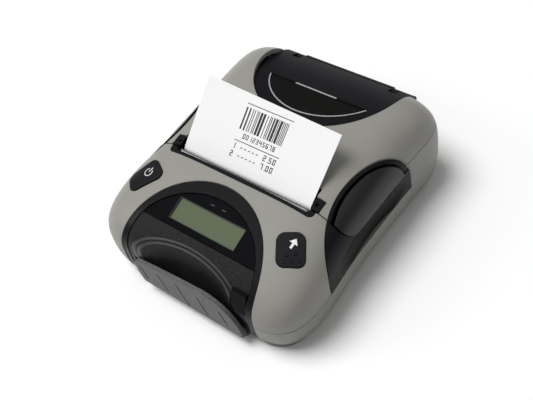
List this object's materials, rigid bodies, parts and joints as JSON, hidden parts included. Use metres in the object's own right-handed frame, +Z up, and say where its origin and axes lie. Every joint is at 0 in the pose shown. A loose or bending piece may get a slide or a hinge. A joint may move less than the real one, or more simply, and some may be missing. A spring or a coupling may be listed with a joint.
{
  "type": "portable receipt printer",
  "caption": "Rounded grey and black portable thermal receipt printer with display, card slot, opening paper cover, roll bay and a printed strip standing from its slot.",
  "frame": {"origin": "bottom centre of the bounding box, on the floor under the printer", "axes": "+X to the printer's right, +Y to its rear, +Z up; the display and card slot face -Y"},
  "size_m": [0.1258, 0.152, 0.073],
  "materials": {
    "grey_case": "fine texture",
    "black_case": "satin",
    "black_panel": "coarse texture",
    "gloss_lens": "gloss",
    "lcd": "satin",
    "rim_silver": "satin metal paint",
    "steel": "brushed",
    "cast_frame": "matte",
    "platen_rubber": "ground",
    "foot_rubber": "matte",
    "gear_plastic": "satin",
    "bronze": "sintered",
    "ceramic_head": "glazed",
    "board_green": "solder mask",
    "thermal_paper": "smooth",
    "core_card": "matte"
  },
  "bodies": {
    "base": {"bottom_case": "grey_case", "front_case": "grey_case", "side_panel_left": "black_case", "side_panel_right": "black_case", "lcd_bezel": "black_case", "lcd_window": "gloss_lens", "lcd_glass": "lcd", "lcd_module": "cast_frame", "front_panel": "black_panel", "card_lip": "black_panel", "ir_window": "gloss_lens", "slot_trim": "black_case", "tear_bar": "steel", "key_switches": "board_green", "head_spring": "bronze", "main_board": "board_green", "print_frame": "cast_frame", "stepper_motor": "steel", "hinge_pin": "steel", "roll_bay": "black_case", "paper_web": "thermal_paper", "paper_sensor": "black_case", "battery_contacts": "bronze", "charge_jack": "black_case", "data_socket": "steel", "case_screws": "steel", "board_screws": "steel", "rubber_feet": "foot_rubber"},
    "cover": {"paper_cover": "grey_case", "cover_frame": "black_case", "cover_insert": "black_case", "paper_window": "gloss_lens", "window_rim": "rim_silver", "cover_tabs": "black_case", "platen_bushes": "bronze", "receipt": "thermal_paper"},
    "release_left": {"release_button_left": "black_case"},
    "release_right": {"release_button_right": "black_case"},
    "platen": {"platen_shaft": "steel", "platen_roller": "platen_rubber", "platen_gear": "gear_plastic"},
    "idler": {"idler_gear": "gear_plastic"},
    "pinion": {"motor_pinion": "bronze"},
    "thermal_head": {"print_head": "ceramic_head", "head_bracket": "steel"},
    "reader_head": {"magnetic_head": "steel"},
    "power_key": {"power_button": "black_case"},
    "feed_key": {"feed_button": "black_case"},
    "roll": {"paper_roll": "thermal_paper", "roll_core": "core_card"},
    "battery": {"battery_pack": "black_case"},
    "battery_catch": {"battery_latch": "black_case"}
  },
  "joints": [
    {"name": "cover_hinge", "type": "hinge", "parent": "base", "child": "cover", "pos_m": [0, 0.072, 0.038], "axis": [-1, 0, 0], "range_deg": [0, 80]},
    {"name": "release_left_press", "type": "slide", "parent": "cover", "child": "release_left", "axis": [1, 0, 0], "range_m": [0, 0.0015], "stiffness_N_per_m": 600},
    {"name": "release_right_press", "type": "slide", "parent": "cover", "child": "release_right", "axis": [-1, 0, 0], "range_m": [0, 0.0015], "stiffness_N_per_m": 600},
    {"name": "platen_spin", "type": "hinge", "parent": "cover", "child": "platen", "pos_m": [0, -0.0115, 0.0385], "axis": [1, 0, 0], "continuous": true},
    {"name": "idler_spin", "type": "hinge", "parent": "base", "child": "idler", "pos_m": [0, -0.0115, 0.025], "axis": [1, 0, 0], "continuous": true},
    {"name": "pinion_spin", "type": "hinge", "parent": "base", "child": "pinion", "pos_m": [0, -0.022, 0.025], "axis": [1, 0, 0], "continuous": true},
    {"name": "head_tilt", "type": "hinge", "parent": "base", "child": "thermal_head", "pos_m": [0, -0.0193, 0.0349], "axis": [1, 0, 0], "range_deg": [0, 2], "stiffness_Nm_per_rad": 2},
    {"name": "reader_press", "type": "slide", "parent": "base", "child": "reader_head", "axis": [0, 1, 0], "range_m": [0, 0.001], "stiffness_N_per_m": 400},
    {"name": "power_press", "type": "slide", "parent": "base", "child": "power_key", "axis": [0, 0, -1], "range_m": [0, 0.0008], "stiffness_N_per_m": 800},
    {"name": "feed_press", "type": "slide", "parent": "base", "child": "feed_key", "axis": [0, 0, -1], "range_m": [0, 0.0008], "stiffness_N_per_m": 800},
    {"name": "roll_spin", "type": "hinge", "parent": "base", "child": "roll", "pos_m": [0, 0.02, 0.0286], "axis": [1, 0, 0], "continuous": true},
    {"name": "battery_slide", "type": "slide", "parent": "base", "child": "battery", "axis": [0, 1, 0], "range_m": [0, 0.03]},
    {"name": "catch_slide", "type": "slide", "parent": "battery", "child": "battery_catch", "axis": [0, 0, -1], "range_m": [0, 0.0015], "stiffness_N_per_m": 400}
  ],
  "couplings": [
    {"joint": "idler_spin", "follows": "platen_spin", "ratio": -0.8},
    {"joint": "pinion_spin", "follows": "platen_spin", "ratio": 2},
    {"joint": "roll_spin", "follows": "platen_spin", "ratio": 0.22727}
  ]
}
